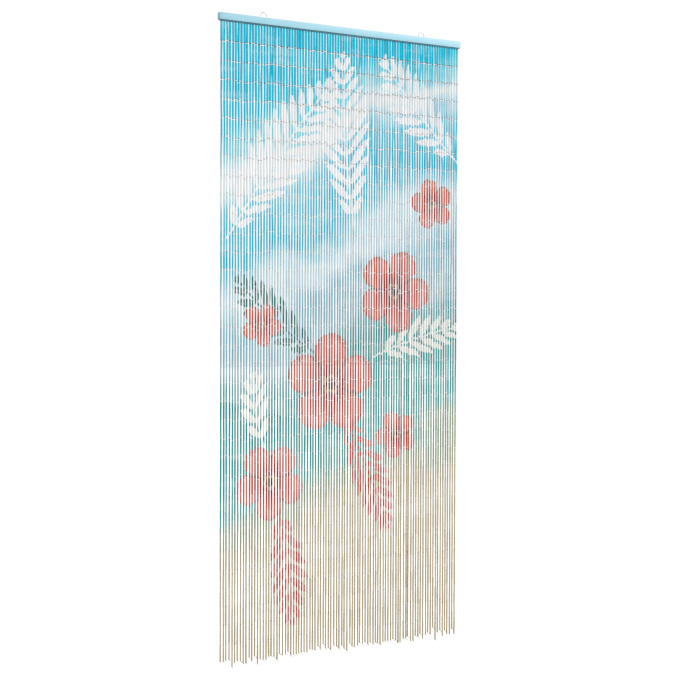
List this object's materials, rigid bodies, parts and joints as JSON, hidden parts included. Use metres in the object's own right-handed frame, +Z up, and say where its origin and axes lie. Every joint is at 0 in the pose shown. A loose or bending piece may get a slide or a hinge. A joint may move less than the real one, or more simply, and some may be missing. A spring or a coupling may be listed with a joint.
{
  "type": "bamboo door curtain with wooden rail",
  "caption": "Hanging door curtain: strands of linked bamboo tubes under a slim painted wooden rail, hung by bent wire loops on the rail's top.",
  "frame": {"origin": "middle of the rail's top face, midway between the two hanging loops", "axes": "+Z up, +X along the rail, the printed front faces -Y"},
  "size_m": [0.9, 0.016, 2.0313],
  "materials": {
    "painted_wood": "light sky-blue satin paint on a planed batten",
    "steel_wire": "bright drawn steel wire",
    "bamboo": "thin bamboo tubes with a matt printed front and bare ends"
  },
  "bodies": {
    "root": {"rail": "painted_wood", "hanging_loop_left": "steel_wire", "hanging_loop_right": "steel_wire", "strands": "bamboo"}
  },
  "joints": []
}
